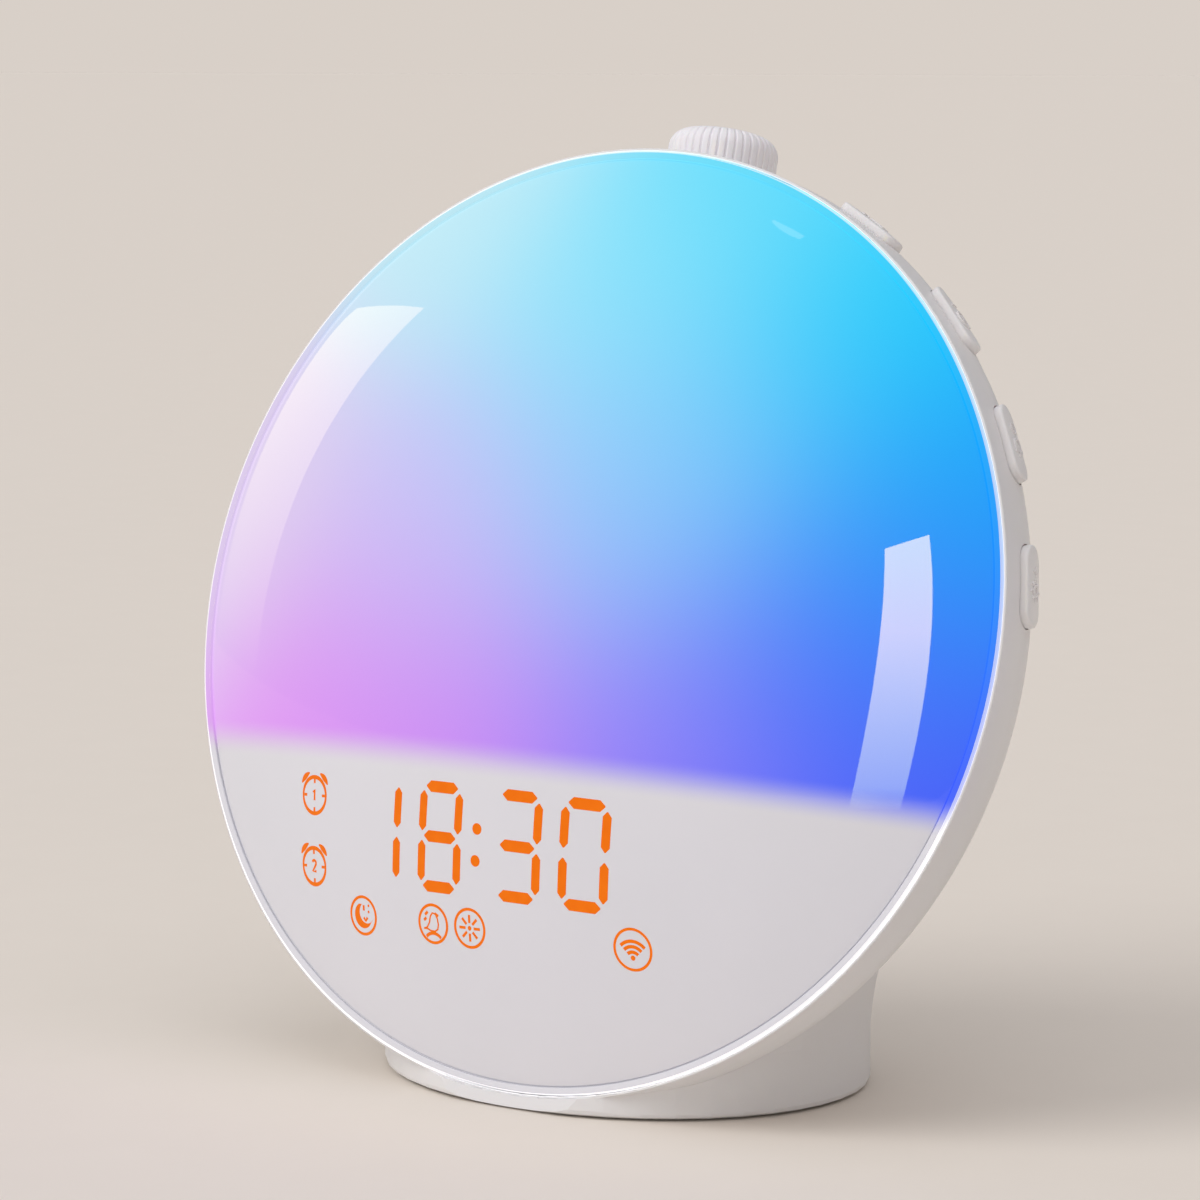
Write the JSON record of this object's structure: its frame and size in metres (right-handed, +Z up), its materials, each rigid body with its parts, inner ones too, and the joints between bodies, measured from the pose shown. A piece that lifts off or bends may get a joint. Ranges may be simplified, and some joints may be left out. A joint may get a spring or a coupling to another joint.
{
  "type": "sunrise alarm clock",
  "caption": "Round, back-leaning sunrise alarm clock with a domed light face, side buttons, a top knob and an oval foot.",
  "frame": {"origin": "centre of the rubber foot's underside, on the table", "axes": "+X to the right of someone facing the clock, +Y to its back, +Z up; the face leans back 15 degrees"},
  "size_m": [0.1824, 0.0866, 0.1802],
  "materials": {
    "opal_lens": "satin translucent",
    "white_shell": "fine satin",
    "button_white": "satin",
    "inner_white": "matt, reflecting",
    "board_green": "solder mask",
    "led_white": "moulded",
    "led_orange": "clear",
    "black_plastic": "moulded",
    "grey_plastic": "moulded",
    "rubber_grey": "matt",
    "steel": "zinc plated",
    "cell_steel": "polished",
    "magnet_metal": "sintered",
    "cone_black": "paper"
  },
  "bodies": {
    "clock": {"front_lens": "opal_lens", "light_tray": "inner_white", "light_board": "inner_white", "light_leds": "led_white", "display_case": "inner_white", "display_board": "board_green", "display_leds": "led_orange", "main_housing": "white_shell", "rear_cover": "white_shell", "base_plate": "inner_white", "rubber_foot": "rubber_grey", "right_key_board": "board_green", "left_key_board": "board_green", "right_switches": "grey_plastic", "left_switches": "grey_plastic", "encoder_body": "steel", "encoder_nut": "steel", "encoder_board": "board_green", "main_board": "board_green", "board_parts": "grey_plastic", "wifi_module": "steel", "coin_cell_holder": "black_plastic", "coin_cell": "cell_steel", "speaker_frame": "grey_plastic", "speaker_cone": "cone_black", "speaker_magnet": "magnet_metal", "speaker_gasket": "rubber_grey", "power_inlet": "black_plastic", "cover_screws": "steel", "base_screws": "steel", "tray_screws": "steel", "board_screws": "steel", "speaker_screws": "steel"},
    "right_key_1": {"right_button_1": "button_white", "right_plunger_1": "black_plastic"},
    "right_key_2": {"right_button_2": "button_white", "right_plunger_2": "black_plastic"},
    "right_key_3": {"right_button_3": "button_white", "right_plunger_3": "black_plastic"},
    "right_key_4": {"right_button_4": "button_white", "right_plunger_4": "black_plastic"},
    "left_key_1": {"left_button_1": "button_white", "left_plunger_1": "black_plastic"},
    "left_key_2": {"left_button_2": "button_white", "left_plunger_2": "black_plastic"},
    "left_key_3": {"left_button_3": "button_white", "left_plunger_3": "black_plastic"},
    "left_key_4": {"left_button_4": "button_white", "left_plunger_4": "black_plastic"},
    "knob_push": {"encoder_actuator": "black_plastic"},
    "knob_group": {"knob": "button_white", "encoder_shaft": "steel"}
  },
  "joints": [
    {"name": "right_press_1", "type": "slide", "parent": "clock", "child": "right_key_1", "axis": [0.989, 0.0383, 0.1428], "range_m": [-0.0006, 0], "stiffness_N_per_m": 300},
    {"name": "right_press_2", "type": "slide", "parent": "clock", "child": "right_key_2", "axis": [0.9026, 0.1114, 0.4158], "range_m": [-0.0006, 0], "stiffness_N_per_m": 300},
    {"name": "right_press_3", "type": "slide", "parent": "clock", "child": "right_key_3", "axis": [0.7373, 0.1749, 0.6526], "range_m": [-0.0006, 0], "stiffness_N_per_m": 300},
    {"name": "right_press_4", "type": "slide", "parent": "clock", "child": "right_key_4", "axis": [0.5075, 0.223, 0.8323], "range_m": [-0.0006, 0], "stiffness_N_per_m": 300},
    {"name": "left_press_1", "type": "slide", "parent": "clock", "child": "left_key_1", "axis": [-0.989, 0.0383, 0.1428], "range_m": [-0.0006, 0], "stiffness_N_per_m": 300},
    {"name": "left_press_2", "type": "slide", "parent": "clock", "child": "left_key_2", "axis": [-0.9026, 0.1114, 0.4158], "range_m": [-0.0006, 0], "stiffness_N_per_m": 300},
    {"name": "left_press_3", "type": "slide", "parent": "clock", "child": "left_key_3", "axis": [-0.7373, 0.1749, 0.6526], "range_m": [-0.0006, 0], "stiffness_N_per_m": 300},
    {"name": "left_press_4", "type": "slide", "parent": "clock", "child": "left_key_4", "axis": [-0.5075, 0.223, 0.8323], "range_m": [-0.0006, 0], "stiffness_N_per_m": 300},
    {"name": "knob_press", "type": "slide", "parent": "clock", "child": "knob_push", "axis": [0, 0.2588, 0.9659], "range_m": [-0.0005, 0], "stiffness_N_per_m": 600},
    {"name": "knob_turn", "type": "hinge", "parent": "knob_push", "child": "knob_group", "pos_m": [0, 0.03198, 0.16986], "axis": [0, 0.2588, 0.9659], "continuous": true}
  ]
}
